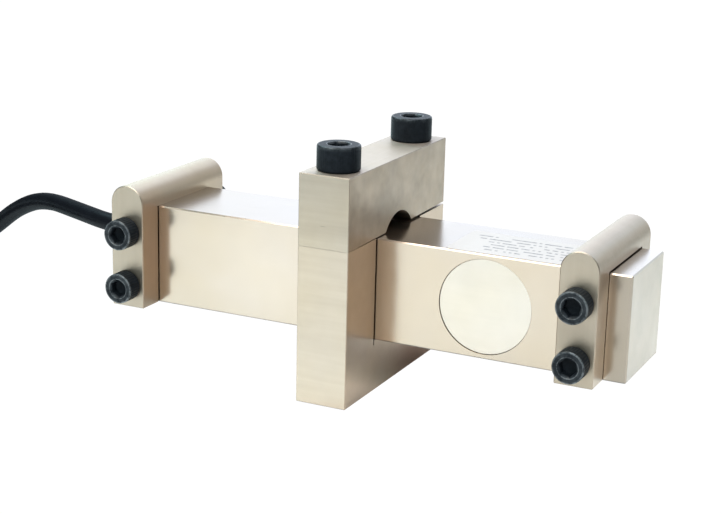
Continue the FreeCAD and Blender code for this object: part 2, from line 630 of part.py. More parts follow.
# ties round the bundle
t = size("tie_thick")
bands = []
for angle in (150.0, 330.0):
    outer = Part.Face(rounded_rectangle(r0 - t, r1 + t, z0 - t, z1 + t, round_off + t))
    inner_face = Part.Face(rounded_rectangle(r0, r1, z0, z1, round_off))
    band = outer.cut(inner_face).Faces[0].revolve(V(0, 0, 0), V(0, 0, 1), size("tie_sweep"))
    band.Placement = FreeCAD.Placement(V(cx, cy, 0), FreeCAD.Rotation(V(0, 0, 1), angle))
    bands.append(band)
ties = doc.addObject("Part::Feature", "coil_tie_set")
ties.Shape = Part.makeCompound(bands)
keep(ties, "coil_ties")

# sleeve at the end of the jacket, and the four leads that come out of it
end = V(*TAIL[-1])
ahead = (V(*TAIL[-1]) - V(*TAIL[-2])).normalize()
sleeve = doc.addObject("Part::Feature", "end_sleeve_tube")
sleeve_shape = Part.makeCylinder(size("sleeve_dia") / 2, size("sleeve_length"), end, ahead)
rims = [e for e in sleeve_shape.Edges if isinstance(e.Curve, Part.Circle)]
sleeve.Shape = sleeve_shape.makeFillet(0.6, rims[:2])
keep(sleeve, "end_sleeve")

across = ahead.cross(V(0, 0, 1)).normalize()
above = across.cross(ahead).normalize()
front = end + ahead * size("sleeve_length")
tips = []
FAN = [
    ("lead_red", 1.1, 0.9, ((10, 2.4, 3.4), (19, 5.2, 1.3), (28, 8.8, 0.8))),
    ("lead_black", 1.1, -0.9, ((9, 1.7, 1.9), (18, 2.7, 0.8), (29, 2.6, 0.8))),
    ("lead_green", -1.1, 0.9, ((10, -1.5, 3.5), (20, -2.8, 1.3), (31, -2.9, 0.8))),
    ("lead_white", -1.1, -0.9, ((9, -2.2, 1.8), (17, -4.9, 0.8), (27, -8.0, 0.8))),
]
lead_dia = size("lead_dia")
for name, side_shift, up_shift, way in FAN:
    begin = front + across * side_shift + above * up_shift
    level = V(ahead.x, ahead.y, 0).normalize()
    points = [begin, begin + ahead * 5]
    for forward, sideways, height in way:
        p = front + level * forward + across * sideways
        points.append(V(p.x, p.y, height))
    lead = doc.addObject("Part::Feature", name + "_wire")
    lead.Shape = tube(name, [tuple(p) for p in points], lead_dia)
    keep(lead, name)
    last = (points[-1] - points[-2]).normalize()
    tips.append(Part.makeCylinder(size("tip_dia") / 2, size("tip_length"), points[-1], last))
tinned = doc.addObject("Part::Feature", "lead_tip_set")
tinned.Shape = Part.makeCompound(tips)
keep(tinned, "lead_tips")

# ------------------------------------------------------------ check and write
doc.recompute()
faults = []
for obj in doc.Objects:
    if "Invalid" in obj.State or "Error" in obj.State:
        faults.append("%s: %s" % (obj.Name, obj.State))
for obj in PARTS:
    shape = obj.Shape
    if shape.isNull() or not shape.isValid() or not shape.Solids:
        faults.append(obj.Label + " has no valid solid")
if faults:
    raise RuntimeError("; ".join(faults))
os.makedirs("parts", exist_ok=True)
for obj in PARTS:
    obj.Shape.exportStep(os.path.join("parts", obj.Label + ".step"))
    box = obj.Shape.BoundBox
    print("%-22s solids %d  volume %10.1f  x %.2f..%.2f  y %.2f..%.2f  z %.2f..%.2f" % (
        obj.Label, len(obj.Shape.Solids), obj.Shape.Volume, box.XMin, box.XMax, box.YMin, box.YMax, box.ZMin, box.ZMax))
print("%d nodes" % len(PARTS))
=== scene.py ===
import math

import bmesh
import bpy
from mathutils import Matrix, Vector


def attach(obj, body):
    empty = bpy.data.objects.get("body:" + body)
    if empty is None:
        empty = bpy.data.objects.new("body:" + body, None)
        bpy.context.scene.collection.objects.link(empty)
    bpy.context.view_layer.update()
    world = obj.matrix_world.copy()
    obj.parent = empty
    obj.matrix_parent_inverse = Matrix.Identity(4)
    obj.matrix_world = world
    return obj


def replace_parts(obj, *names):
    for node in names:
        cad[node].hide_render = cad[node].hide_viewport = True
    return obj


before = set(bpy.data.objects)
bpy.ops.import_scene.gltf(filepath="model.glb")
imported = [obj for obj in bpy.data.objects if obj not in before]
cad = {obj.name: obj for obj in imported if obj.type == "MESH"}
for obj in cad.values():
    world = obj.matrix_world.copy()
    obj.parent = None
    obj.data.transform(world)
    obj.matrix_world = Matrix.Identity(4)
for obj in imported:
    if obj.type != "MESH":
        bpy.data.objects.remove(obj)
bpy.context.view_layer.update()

MM = 0.001
scene = bpy.context.scene


# ------------------------------------------------------------------- camera
def make_camera():
    """The photograph's viewpoint: 25.6 degrees to the right of the front, 15.7 above the floor."""
    a, e, r = (math.radians(v) for v in (25.618, 15.737, -1.422))
    right = Vector((math.cos(a), math.sin(a), 0))
    back = Vector((math.sin(a) * math.cos(e), -math.cos(a) * math.cos(e), math.sin(e)))
    up = back.cross(right)
    across = right * math.cos(r) - up * math.sin(r)
    upward = right * math.sin(r) + up * math.cos(r)
    spot = (across * -3.524 + upward * 21.078 + back * 531.244) * MM + Vector((0, 0, 17 * MM))
    data = bpy.data.cameras.new("photo_camera")
    data.sensor_fit = "HORIZONTAL"
    data.sensor_width = 36.0
    data.lens = 1635.829 * 36.0 / 722.0
    data.clip_start, data.clip_end = 0.01, 60.0
    camera = bpy.data.objects.new("photo_camera", data)
    scene.collection.objects.link(camera)
    turned = Matrix((across, upward, back)).transposed().to_4x4()
    turned.translation = spot
    camera.matrix_world = turned
    scene.camera = camera


make_camera()


# ------------------------------------------------------------- node helpers
def put(tree, kind, ins=None, **props):
    """One shader node, with its properties set and its inputs set or linked."""
    n = tree.nodes.new(kind)
    for key, value in props.items():
        setattr(n, key, value)
    for key, value in (ins or {}).items():
        s = n.inputs[key]
        if isinstance(value, bpy.types.NodeSocket):
            tree.links.new(value, s)
        else:
            s.default_value = value
    return n


def maths(tree, operation, a, b=None, c=None, clamp=False):
    ins = {0: a}
    if b is not None:
        ins[1] = b
    if c is not None:
        ins[2] = c
    return put(tree, "ShaderNodeMath", ins, operation=operation, use_clamp=clamp).outputs[0]


def span(tree, value, low, high, to_low=0.0, to_high=1.0, smooth=False):
    n = put(tree, "ShaderNodeMapRange", {"Value": value, "From Min": low, "From Max": high, "To Min": to_low, "To Max": to_high},
            interpolation_type="SMOOTHSTEP" if smooth else "LINEAR", clamp=True)
    return n.outputs["Result"]


def blend_colour(tree, factor, a, b, kind="MIX"):
    n = put(tree, "ShaderNodeMix", None, data_type="RGBA", blend_type=kind)
    for s, v in ((n.inputs[0], factor), (n.inputs[6], a), (n.inputs[7], b)):
        if isinstance(v, bpy.types.NodeSocket):
            tree.links.new(v, s)
        else:
            s.default_value = v
    return n.outputs[2]


def rgb(r, g, b):
    return (r, g, b, 1.0)


def new_material(name):
    m = bpy.data.materials.new(name)
    m.use_nodes = True
    t = m.node_tree
    t.nodes.clear()
    out = t.nodes.new("ShaderNodeOutputMaterial")
    shader = t.nodes.new("ShaderNodeBsdfPrincipled")
    t.links.new(shader.outputs[0], out.inputs["Surface"])
    place = put(t, "ShaderNodeTexCoord").outputs["Object"]
    return m, t, shader, place


def noise(tree, place, scale, size=1.0, detail=2.0, roughness=0.5, offset=(0, 0, 0)):
    """Noise over the part's own coordinates; scale is (x, y, z) in cycles a metre."""
    where = put(tree, "ShaderNodeMapping", {"Vector": place, "Scale": scale, "Location": offset}).outputs[0]
    return put(tree, "ShaderNodeTexNoise", {"Vector": where, "Scale": size, "Detail": detail, "Roughness": roughness}).outputs["Fac"]


def facing(tree):
    """Shares of the X, Y and Z directions in the way that a face looks; they add up to one."""
    normal = put(tree, "ShaderNodeNewGeometry").outputs["Normal"]
    part = put(tree, "ShaderNodeSeparateXYZ", {0: normal})
    raw = [maths(tree, "POWER", maths(tree, "ABSOLUTE", part.outputs[i]), 6.0) for i in range(3)]
    total = maths(tree, "ADD", raw[0], maths(tree, "ADD", raw[1], raw[2]))
    return [maths(tree, "DIVIDE", r, total) for r in raw]


def by_face(tree, weights, x, y, z):
    """A value chosen by the face's direction."""
    total = maths(tree, "MULTIPLY", weights[0], x)
    total = maths(tree, "MULTIPLY_ADD", weights[1], y, total)
    return maths(tree, "MULTIPLY_ADD", weights[2], z, total)


def swing(tree, value, amount):
    """A noise value's distance from its middle, so that amount is about its usual size."""
    return maths(tree, "MULTIPLY", maths(tree, "SUBTRACT", value, 0.5), maths(tree, "MULTIPLY", amount, 8.0))


# ------------------------------------------------------------------- metals
GRAIN = {"x": 0, "y": 1, "z": 2}


def nickel(name, colour, rough, lines="zxy", streak=(0.01, 0.01, 0.01), blotch=(0.02, 0.02, 0.02), wave=0.0001, spread=0.03,
           painted_face_shade=((1, 1, 1),) * 3, painted_spots=(), fine=1600.0, run=45.0, relief=(0.02, 0.02, 0.02), edge_wear_and_painted_light=(0.0, 0.0, 0.0), bows=()):
    """Nickel plate over ground steel. For the faces along X, Y and Z, rough is the gloss, lines the way that the
    grinding lines run (o for none), streak how strong they are, blotch how cloudy the plating is and tint the painted
    shade and highlight for each face direction, as a colour factor. wave is how far from flat it is, in metres.
    spots are painted highlights and painted shade in places: the face's axis, centre and reach in millimetres, how
    much, and how sudden. worn is
    painted shade on the broken edges, how much darker they are, from Y to Z faces, X to Y and X to Z. bows are where
    grinding left the Y faces a little out of flat:
    from and to along X in millimetres, and how far they drop."""
    m, t, shader, place = new_material(name)
    weights = facing(t)
    grains, hairs = [], []
    for i, way in enumerate(lines):
        scale = [fine] * 3
        if way == "o":
            scale = [fine * 0.2] * 3
        else:
            scale[GRAIN[way]] = run
        grains.append(noise(t, place, scale, 1.0, 0.0, 0.5, (i * 3.1, i * 1.7, i * 0.9)))
        scale = [fine * 0.30] * 3
        if way != "o":
            scale[GRAIN[way]] = run * 0.5
        hairs.append(noise(t, place, scale, 1.0, 2.0, 0.6, (i * 1.3, i * 5.1, i * 2.7)))
    grain = by_face(t, weights, *grains)
    hair = by_face(t, weights, *hairs)
    cloud = noise(t, place, (1, 1, 1), 130.0, 3.0, 0.55, (0.31, 0.17, 0.7))
    drift = noise(t, place, (1, 1, 1), 42.0, 2.0, 0.5, (2.3, 0.9, 1.1))
    patch = noise(t, place, (1, 1, 1), 420.0, 3.0, 0.6, (4.2, 1.1, 0.3))
    # colour: clouds in the plating, streaks along the grinding lines, slow drift of hue
    warm = rgb(*(c * k for c, k in zip(colour, (1.01, 1.0, 0.97))))
    cool = rgb(*(c * k for c, k in zip(colour, (0.99, 1.0, 1.03))))
    base = blend_colour(t, span(t, drift, 0.3, 0.7), warm, cool)
    clouds = maths(t, "MULTIPLY_ADD", cloud, 0.65, maths(t, "MULTIPLY", drift, 0.35))
    tone = maths(t, "ADD", swing(t, hair, by_face(t, weights, *streak)), swing(t, clouds, by_face(t, weights, *blotch)))
    painted_spot_factor = (1.0, 1.0, 1.0)
    # painted highlights and painted shade in given places, gathered as a colour factor
    for face, centre, reach, amount, sudden in painted_spots:
        away = put(t, "ShaderNodeVectorMath", {0: place, 1: tuple(c * MM for c in centre)}, operation="SUBTRACT").outputs[0]
        away = put(t, "ShaderNodeVectorMath", {0: away, 1: tuple(1.0 / (r * MM) for r in reach)}, operation="MULTIPLY").outputs[0]
        far = put(t, "ShaderNodeVectorMath", {0: away}, operation="LENGTH").outputs["Value"]
        near = maths(t, "MULTIPLY", span(t, far, 1.0, 1.0 - 1.0 / sudden, smooth=True), weights[face])
        colours = amount if isinstance(amount, tuple) else (amount,) * 3
        near = put(t, "ShaderNodeVectorMath", {0: colours, "Scale": near}, operation="SCALE").outputs[0]
        painted_spot_factor = put(t, "ShaderNodeVectorMath", {0: near, 1: painted_spot_factor}, operation="ADD").outputs[0]
    base = put(t, "ShaderNodeVectorMath", {0: base, "Scale": maths(t, "ADD", tone, 1.0)}, operation="SCALE").outputs[0]
    base = put(t, "ShaderNodeVectorMath", {0: base, 1: painted_spot_factor}, operation="MULTIPLY").outputs[0]
    # painted shade and highlight by the face's direction, as a colour factor
    shade = put(t, "ShaderNodeCombineXYZ", {i: by_face(t, weights, *(f[i] for f in painted_face_shade)) for i in range(3)}).outputs[0]
    base = put(t, "ShaderNodeVectorMath", {0: base, 1: shade}, operation="MULTIPLY").outputs[0]
    # painted shade: the broken edges between faces made darker
    for (i, j), painted_edge_shade in zip(((1, 2), (0, 1), (0, 2)), edge_wear_and_painted_light):
        if painted_edge_shade:
            rim = span(t, maths(t, "MULTIPLY", weights[i], weights[j]), 0.03, 0.20, 1.0, 1.0 - painted_edge_shade)
            base = put(t, "ShaderNodeVectorMath", {0: base, "Scale": rim}, operation="SCALE").outputs[0]
    t.links.new(base, shader.inputs["Base Color"])
    # gloss: fine lines and rubbed areas
    uneven = maths(t, "MULTIPLY_ADD", grain, 0.5, maths(t, "MULTIPLY", patch, 0.5))
    gloss = maths(t, "ADD", by_face(t, weights, *rough), swing(t, uneven, spread))
    t.links.new(span(t, gloss, 0.02, 0.98, 0.02, 0.98), shader.inputs["Roughness"])
    # surface: slow waves left by the grinding, then its fine lines
    slow = noise(t, place, (1, 1, 1), 85.0, 1.0, 0.4, (1.9, 3.3, 0.4))
    waves = put(t, "ShaderNodeBump", {"Height": slow, "Strength": 1.0, "Distance": wave})
    height = maths(t, "MULTIPLY_ADD", grain, 0.7, maths(t, "MULTIPLY", hair, 0.5))
    height = maths(t, "MULTIPLY", height, by_face(t, weights, *relief))
    bump = put(t, "ShaderNodeBump", {"Height": height, "Strength": 1.0, "Distance": 0.00012, "Normal": waves.outputs[0]})
    normal = bump.outputs[0]
    if bows:
        drop = 0.0
        along = put(t, "ShaderNodeSeparateXYZ", {0: place}).outputs[0]
        for start, end, fall in bows:
            drop = maths(t, "ADD", span(t, along, start * MM, end * MM, 0.0, -fall * MM, smooth=True), drop)
        bowed = put(t, "ShaderNodeBump", {"Height": drop, "Strength": 1.0, "Distance": 1.0, "Normal": normal}).outputs[0]
        bend = put(t, "ShaderNodeVectorMath", {0: bowed, 1: normal}, operation="SUBTRACT").outputs[0]
        bend = put(t, "ShaderNodeVectorMath", {0: bend, "Scale": weights[1]}, operation="SCALE").outputs[0]
        normal = put(t, "ShaderNodeVectorMath", {0: bend, 1: normal}, operation="ADD").outputs[0]
    t.links.new(normal, shader.inputs["Normal"])
    shader.inputs["Metallic"].default_value = 1.0
    return m


def black_oxide():
    """Oiled black oxide, lighter and glossier on the head's rims, which the meshes mark as rim: wear there, and partly
    a painted highlight.
    """
    m, t, shader, place = new_material("oiled_black_oxide")
    cloud = noise(t, place, (1, 1, 1), 520.0, 3.0, 0.6)
    fleck = noise(t, place, (1, 1, 1), 2600.0, 3.0, 0.6, (1.7, 0.4, 2.2))
    rim = put(t, "ShaderNodeAttribute", None, attribute_type="GEOMETRY", attribute_name="rim").outputs["Fac"]
    # rims: wear, and partly a painted highlight in the lighter colour
    edge_wear_and_painted_light = maths(t, "MULTIPLY", rim, maths(t, "ADD", span(t, cloud, 0.42, 0.60, 0.15, 0.85), span(t, fleck, 0.45, 0.65, 0.0, 0.60)), clamp=True)
    base = blend_colour(t, span(t, cloud, 0.3, 0.7), rgb(0.0048, 0.0058, 0.0072), rgb(0.0094, 0.0110, 0.0136))
    base = blend_colour(t, edge_wear_and_painted_light, base, rgb(0.058, 0.060, 0.063))
    t.links.new(base, shader.inputs["Base Color"])
    t.links.new(span(t, fleck, 0.25, 0.75, 0.30, 0.44), shader.inputs["Roughness"])
    t.links.new(span(t, edge_wear_and_painted_light, 0.0, 1.0, 0.035, 0.65), shader.inputs["Specular IOR Level"])
    bump = put(t, "ShaderNodeBump", {"Height": maths(t, "MULTIPLY_ADD", fleck, 0.4, cloud), "Strength": 0.20, "Distance": 0.0001})
    t.links.new(bump.outputs[0], shader.inputs["Normal"])
    shader.inputs["Metallic"].default_value = 0.0
    return m


# ------------------------------------------------------- plastics and others
def moulded(name, dark, light, rough, spread, grain=1800.0, relief=0.12, specular=0.5, skin_gloss=0.0):
    """Plastic or rubber: two close tones, uneven gloss and a fine skin, which may have a weak gloss of its own."""
    m, t, shader, place = new_material(name)
    cloud = noise(t, place, (1, 1, 1), grain * 0.12, 3.0, 0.6)
    skin = noise(t, place, (1, 1, 1), grain, 3.0, 0.6, (2.2, 0.8, 1.4))
    t.links.new(blend_colour(t, span(t, cloud, 0.3, 0.7), rgb(*dark), rgb(*light)), shader.inputs["Base Color"])
    t.links.new(span(t, skin, 0.3, 0.7, rough - spread, rough + spread), shader.inputs["Roughness"])
    bump = put(t, "ShaderNodeBump", {"Height": skin, "Strength": relief, "Distance": 0.0001})
    t.links.new(bump.outputs[0], shader.inputs["Normal"])
    shader.inputs["Specular IOR Level"].default_value = specular
    if skin_gloss:
        shader.inputs["Coat Weight"].default_value = skin_gloss
        shader.inputs["Coat Roughness"].default_value = rough
        shader.inputs["Coat IOR"].default_value = 1.6
        t.links.new(bump.outputs[0], shader.inputs["Coat Normal"])
    return m


def label_film():
    """White film, with rows of plain grey bars where print would be."""
    m, t, shader, place = new_material("label_film")
    part = put(t, "ShaderNodeSeparateXYZ", {0: place})
    x, y = part.outputs[0], part.outputs[1]
    row = maths(t, "DIVIDE", maths(t, "ADD", y, 0.0152), 0.00296)
    line = maths(t, "FLOOR", row)
    inside = maths(t, "FRACT", row)
    column = maths(t, "FLOOR", maths(t, "DIVIDE", maths(t, "SUBTRACT", x, 0.031), 0.0009))
    cell = put(t, "ShaderNodeCombineXYZ", {0: column, 1: line, 2: 3.0}).outputs[0]
    ink = put(t, "ShaderNodeTexWhiteNoise", {"Vector": cell}, noise_dimensions="3D").outputs["Value"]
    mark = maths(t, "MULTIPLY", maths(t, "GREATER_THAN", ink, 0.33),
                 maths(t, "MULTIPLY", maths(t, "GREATER_THAN", inside, 0.32), maths(t, "LESS_THAN", inside, 0.66)))
    across = maths(t, "MULTIPLY", maths(t, "GREATER_THAN", x, maths(t, "MULTIPLY_ADD", line, -0.001465, 0.0434)), span(t, x, 0.0692, 0.0691))
    deep = maths(t, "MULTIPLY", span(t, y, -0.0124, -0.0123), span(t, y, 0.0058, 0.0057))
    mark = maths(t, "MULTIPLY", mark, maths(t, "MULTIPLY", across, deep))
    fade = noise(t, place, (1, 1, 1), 900.0, 3.0, 0.6)
    mark = maths(t, "MULTIPLY", mark, span(t, fade, 0.3, 0.7, 0.45, 0.95))
    paper = noise(t, place, (1, 1, 1), 2400.0, 3.0, 0.6)
    white = blend_colour(t, span(t, paper, 0.3, 0.7), rgb(0.328, 0.281, 0.259), rgb(0.353, 0.302, 0.279))
    t.links.new(blend_colour(t, mark, white, rgb(0.062, 0.055, 0.054)), shader.inputs["Base Color"])
    t.links.new(span(t, paper, 0.3, 0.7, 0.34, 0.46), shader.inputs["Roughness"])
    bump = put(t, "ShaderNodeBump", {"Height": paper, "Strength": 0.05, "Distance": 0.0001})
    t.links.new(bump.outputs[0], shader.inputs["Normal"])
    return m


def gauge_film():
    """Amber film with the foil's fold lines in it."""
    m, t, shader, place = new_material("gauge_film")
    turned = put(t, "ShaderNodeMapping", {"Vector": place, "Rotation": (0, math.radians(45), 0)}).outputs[0]
    fold = put(t, "ShaderNodeTexWave", {"Vector": turned, "Scale": 620.0, "Distortion": 0.4}, bands_direction="X").outputs["Fac"]
    base = blend_colour(t, span(t, fold, 0.55, 0.7), rgb(0.60, 0.33, 0.09), rgb(0.55, 0.47, 0.36))
    t.links.new(base, shader.inputs["Base Color"])
    t.links.new(span(t, fold, 0.2, 0.8, 0.25, 0.4), shader.inputs["Roughness"])
    return m


def board_green():
    """Solder mask with four bright pads."""
    m, t, shader, place = new_material("board_green")
    part = put(t, "ShaderNodeSeparateXYZ", {0: place})
    step = maths(t, "FRACT", maths(t, "DIVIDE", maths(t, "SUBTRACT", part.outputs[2], 0.0285), 0.0025))
    along = maths(t, "MULTIPLY", span(t, part.outputs[0], 0.0362, 0.0363), span(t, part.outputs[0], 0.0388, 0.0387))
    pad = maths(t, "MULTIPLY", along, maths(t, "MULTIPLY", maths(t, "GREATER_THAN", step, 0.25), maths(t, "LESS_THAN", step, 0.75)))
    cloud = noise(t, place, (1, 1, 1), 900.0, 3.0)
    mask = blend_colour(t, cloud, rgb(0.02, 0.16, 0.07), rgb(0.05, 0.27, 0.12))
    t.links.new(blend_colour(t, pad, mask, rgb(0.62, 0.60, 0.55)), shader.inputs["Base Color"])
    t.links.new(span(t, cloud, 0.3, 0.7, 0.3, 0.45), shader.inputs["Roughness"])
    return m


HUE = (1.0, 0.80, 0.615)
BAR = tuple(0.415 * c for c in HUE)
CLAMP = tuple(0.395 * c for c in HUE)
SADDLE = tuple(0.36 * c for c in HUE)
COVER = (0.52, 0.450, 0.385)
# In the nickel calls, the per-face colour factors (tint) and the listed places (spots) are painted shade and painted
# highlights: most tops lighter, darker beside the clamp, the left saddle and in front of a clamp screw head, and the
# yoke's +X face darker low at the rear where it mirrors the shaded floor; worn is painted shade on the broken edges.
materials = {
    "nickel_bar": nickel("nickel_bar", BAR, (0.38, 0.19, 0.20), "oxx", (0.003, 0.003, 0.004), (0.050, 0.016, 0.012), 0.00008, 0.008,
                         ((1.0, 1.0, 1.03), (0.935, 0.944, 0.972), (0.95, 0.99, 1.07)),
                         [(1, (91, -16, 33), (8.5, 4, 60), -0.36, 4.0), (1, (-28, -16, 33), (34, 4, 44), (0.11, 0.13, 0.19), 1.0),
                          (1, (42, -16, 33), (60, 4, 60), 0.07, 2.0), (2, (91, 0, 50), (8.5, 60, 4), (0.40, 0.44, 0.48), 4.0),
                          (2, (10, 0, 50), (14, 40, 4), 0.45, 1.3), (2, (52, 15, 50), (36, 12, 4), (0.07, 0.07, 0.03), 1.2),
                          (1, (8.5, -16, 33), (5, 4, 60), -0.28, 1.0), (1, (-71.2, -16, 33), (4, 4, 60), -0.18, 1.0)],
                         relief=(0.0, 0.0, 0.0), edge_wear_and_painted_light=(0.28, 0.0, 0.1), bows=((-73, -59, 0.60), (6, 26, 0.50))),
    "nickel_yoke": nickel("nickel_yoke", CLAMP, (0.32, 0.34, 0.36), "oxy", (0.001, 0.020, 0.010), (0.040, 0.022, 0.020), 0.00010, 0.012,
                          ((0.99, 0.88, 0.80), (1.0, 1.02, 1.05), (1.0, 1.0, 1.0)),
                          [(1, (0, -36, -2), (40, 6, 26), 0.09, 1.0), (0, (8.5, 16, 4), (4, 26, 16), (-0.40, -0.54, -0.62), 1.0),
                           (0, (8.5, -26, 10), (4, 22, 9), 0.17, 1.0), (0, (8.5, -29, 0), (4, 16, 5), -0.14, 1.0)], relief=(0.0, 0.03, 0.02), edge_wear_and_painted_light=(0.55, 0.22, 0.22)),
    "nickel_cap": nickel("nickel_cap", CLAMP, (0.38, 0.36, 0.52), "oxy", (0.001, 0.028, 0.012), (0.115, 0.028, 0.025), 0.00014, 0.03,
                         ((0.73, 0.665, 0.61), (0.84, 0.865, 0.89), (1.13, 1.16, 1.26)),
                         [(1, (0, -36, 48), (40, 6, 9), 0.19, 1.0), (1, (-0.2, -36, 57.1), (1.7, 3, 0.16), -0.30, 1.2),
                          (0, (8.5, -8, 58), (4, 19, 9), -0.20, 1.0), (0, (8.5, 32, 62), (4, 14, 20), 0.10, 1.0),
                          (0, (8.5, -22, 66), (4, 9, 6), 0.12, 1.0),
                          (2, (0, -34, 72.7), (9, 4, 4), -0.28, 1.2)], relief=(0.0, 0.035, 0.015), edge_wear_and_painted_light=(0.60, 0.22, 0.22)),
    "nickel_saddle": nickel("nickel_saddle", SADDLE, (0.40, 0.42, 0.46), "zzy", (0.003, 0.012, 0.002), (0.020, 0.020, 0.028), 0.00010, 0.02,
                            ((0.97, 0.89, 0.84), (0.90, 0.91, 0.92), (1.30, 1.33, 1.38)), [(0, (-71.2, -20.7, 38), (3, 14, 40), (0.12, 0.05, 0.01), 1.0), (0, (83.2, 0, 28), (3, 40, 24), (0.66, 0.76, 0.86), 4.0),
                             (1, (77.2, -25.5, 49), (14, 4, 9), 0.08, 1.0), (1, (77.2, -25.5, 33), (14, 4, 9), -0.12, 1.0),
                             (2, (-77, 0, 58), (10, 40, 6), 0.07, 1.0)],
                            relief=(0.0, 0.02, 0.004), edge_wear_and_painted_light=(0.38, 0.20, 0.0)),
    "nickel_cover": nickel("nickel_cover", COVER, (0.34, 0.34, 0.34), "zxx", (0.003, 0.006, 0.003), (0.020, 0.020, 0.020), 0.00008, 0.02, relief=(0.0, 0.0, 0.0)),
    "gland_metal": nickel("gland_metal", (0.21, 0.185, 0.155), (0.31, 0.31, 0.31), "zzx", wave=0.00003, spread=0.01),
    "black_oxide": black_oxide(),
    "seal_rubber": moulded("seal_rubber", (0.012, 0.012, 0.012), (0.03, 0.03, 0.03), 0.6, 0.08),
    "core_insulation": moulded("core_insulation", (0.5, 0.48, 0.44), (0.64, 0.62, 0.58), 0.42, 0.06),
    "cable_jacket": moulded("cable_jacket", (0.0022, 0.0024, 0.0032), (0.0038, 0.0041, 0.0056), 0.36, 0.05, 900.0, 0.05, 0.0, 0.12),
    "tie_plastic": moulded("tie_plastic", (0.006, 0.006, 0.006), (0.011, 0.011, 0.011), 0.42, 0.06, specular=0.12),
    "sleeve_plastic": moulded("sleeve_plastic", (0.008, 0.008, 0.009), (0.014, 0.014, 0.015), 0.5, 0.08, specular=0.15),
    "lead_red": moulded("lead_red", (0.47, 0.02, 0.02), (0.60, 0.035, 0.03), 0.36, 0.06),
    "lead_black": moulded("lead_black", (0.010, 0.010, 0.010), (0.02, 0.02, 0.02), 0.36, 0.06),
    "lead_green": moulded("lead_green", (0.02, 0.26, 0.05), (0.035, 0.36, 0.085), 0.36, 0.06),
    "lead_white": moulded("lead_white", (0.70, 0.70, 0.68), (0.82, 0.82, 0.80), 0.36, 0.06),
    "tinned_copper": nickel("tinned_copper", (0.66, 0.65, 0.62), (0.22, 0.22, 0.22), "xxx", fine=5000.0, run=200.0, wave=0.0, spread=0.01),
    "label_film": label_film(),
    "gauge_film": gauge_film(),
    "board_green": board_green(),
}


def dress(obj, slot_name):
    obj.data.materials.clear()
    obj.data.materials.append(materials[slot_name])
    return obj


for node, slot_name in {
    "load_bar": "nickel_bar", "clamp_yoke": "nickel_yoke", "clamp_cap": "nickel_cap",
    "rope_saddle_left": "nickel_saddle", "rope_saddle_right": "nickel_saddle",
    "gauge_cover": "nickel_cover", "cover_seal": "seal_rubber", "strain_gauges": "gauge_film",
    "terminal_board": "board_green", "bridge_wires": "core_insulation", "gland_screw": "gland_metal",
    "gland_washer": "gland_metal", "gland_seal": "seal_rubber", "rating_label": "label_film",
    "clamp_screws": "black_oxide", "saddle_screws_left": "black_oxide", "saddle_screws_right": "black_oxide",
    "signal_cable": "cable_jacket", "cable_coil": "cable_jacket", "cable_tail": "cable_jacket",
    "coil_ties": "tie_plastic", "end_sleeve": "sleeve_plastic", "lead_red": "lead_red",
    "lead_black": "lead_black", "lead_green": "lead_green", "lead_white": "lead_white", "lead_tips": "tinned_copper",
}.items():
    dress(cad[node], slot_name)


# ------------------------------------------------------------- mesh helpers
def finish_mesh(bm, name, slot_name, sharp=32.0):
    """Makes the object, smooth but for the edges that turn by more than the angle."""
    bmesh.ops.recalc_face_normals(bm, faces=bm.faces)
    for f in bm.faces:
        f.smooth = True
    for e in bm.edges:
        e.smooth = len(e.link_faces) == 2 and e.calc_face_angle(0.0) < math.radians(sharp)
    mesh = bpy.data.meshes.new(name)
    bm.to_mesh(mesh)
    bm.free()
    obj = bpy.data.objects.new(name, mesh)
    scene.collection.objects.link(obj)
    dress(obj, slot_name)
    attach(obj, "root")
    return obj


def loft(bm, rings, at=None, start_tip=None, end_tip=None, marks=None):
    """Joins rings of the same number of points, and closes each end with a point."""
    at = at or Matrix.Identity(4)
    made = [[bm.verts.new(at @ Vector(p)) for p in ring] for ring in rings]
    if marks:
        layer = bm.verts.layers.float["rim"]
        for ring, mark in zip(made, marks):
            for v in ring:
                v[layer] = mark
    n = len(made[0])
    for one, two in zip(made, made[1:]):
        for i in range(n):
            j = (i + 1) % n
            bm.faces.new((one[i], one[j], two[j], two[i]))
    for ring, tip in ((made[0], start_tip), (made[-1], end_tip)):
        if tip is not None:
            point = bm.verts.new(at @ Vector(tip))
            for i in range(n):
                bm.faces.new((ring[i], ring[(i + 1) % n], point))
    return made


def circle(radius, z, n):
    return [(radius * math.cos(2 * math.pi * i / n), radius * math.sin(2 * math.pi * i / n), z) for i in range(n)]


def hexagon(width, z, n):
    ring = []
    for i in range(n):
        a = 360.0 * i / n
        r = width / 2 / math.cos(math.radians(a % 60.0 - 30.0))
        ring.append((r * math.cos(math.radians(a)), r * math.sin(math.radians(a)), z))
    return ring


def knurled(radius, depth, z, n, ridges):
    ring = []
    for i in range(n):
        a = 2 * math.pi * i / n
        r = radius - depth * (0.5 - 0.5 * math.cos(ridges * a)) ** 0.8
        ring.append((r * math.cos(a), r * math.sin(a), z))
    return ring


